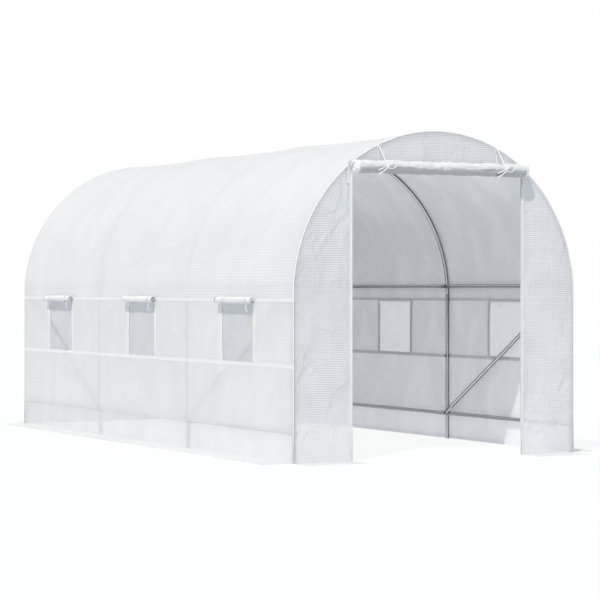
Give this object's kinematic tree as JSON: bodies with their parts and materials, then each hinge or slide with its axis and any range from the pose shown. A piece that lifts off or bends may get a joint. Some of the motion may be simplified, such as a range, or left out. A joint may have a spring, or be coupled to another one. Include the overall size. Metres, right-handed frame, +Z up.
{
  "type": "polytunnel greenhouse",
  "caption": "Walk-in polytunnel greenhouse: tube hoops with rails and braces under a translucent sheet cover, with a rolled-up door, screened windows and ground flaps.",
  "frame": {"origin": "on the ground, in the middle of the tunnel's plan", "axes": "+Y runs along the tunnel from the doorway to the back, +X to the right seen from the doorway, +Z up"},
  "size_m": [2.4, 4.9, 2],
  "materials": {
    "galvanised_tube": "galvanised",
    "cover_sheet": "translucent reinforced grid sheet",
    "rolled_sheet": "translucent reinforced grid sheet, rolled up",
    "insect_screen": "fine net",
    "white_tape": "woven tape",
    "tie_cord": "cotton cord"
  },
  "bodies": {
    "root": {"back_braces": "galvanised_tube", "back_ground_flap": "cover_sheet", "back_panel": "cover_sheet", "bay_1_base_rails": "galvanised_tube", "bay_1_ridge_rail": "galvanised_tube", "bay_1_shoulder_rails": "galvanised_tube", "bay_2_base_rails": "galvanised_tube", "bay_2_ridge_rail": "galvanised_tube", "bay_2_shoulder_rails": "galvanised_tube", "bay_3_base_rails": "galvanised_tube", "bay_3_ridge_rail": "galvanised_tube", "bay_3_shoulder_rails": "galvanised_tube", "door_roll": "rolled_sheet", "door_zips": "white_tape", "front_braces": "galvanised_tube", "front_ground_flaps": "cover_sheet", "front_left_panel": "cover_sheet", "front_lunette": "cover_sheet", "front_right_panel": "cover_sheet", "left_bows": "galvanised_tube", "left_ground_flap": "cover_sheet", "left_legs": "galvanised_tube", "left_lower_wall": "cover_sheet", "left_roof_lower": "cover_sheet", "left_roof_upper": "cover_sheet", "left_tie_cord": "tie_cord", "left_window_band": "cover_sheet", "left_window_rolls": "rolled_sheet", "left_window_screens": "insect_screen", "left_window_tapes": "white_tape", "right_bows": "galvanised_tube", "right_ground_flap": "cover_sheet", "right_legs": "galvanised_tube", "right_lower_wall": "cover_sheet", "right_roof_lower": "cover_sheet", "right_roof_upper": "cover_sheet", "right_tie_cord": "tie_cord", "right_window_band": "cover_sheet", "right_window_rolls": "rolled_sheet", "right_window_screens": "insect_screen", "right_window_tapes": "white_tape"}
  },
  "joints": []
}
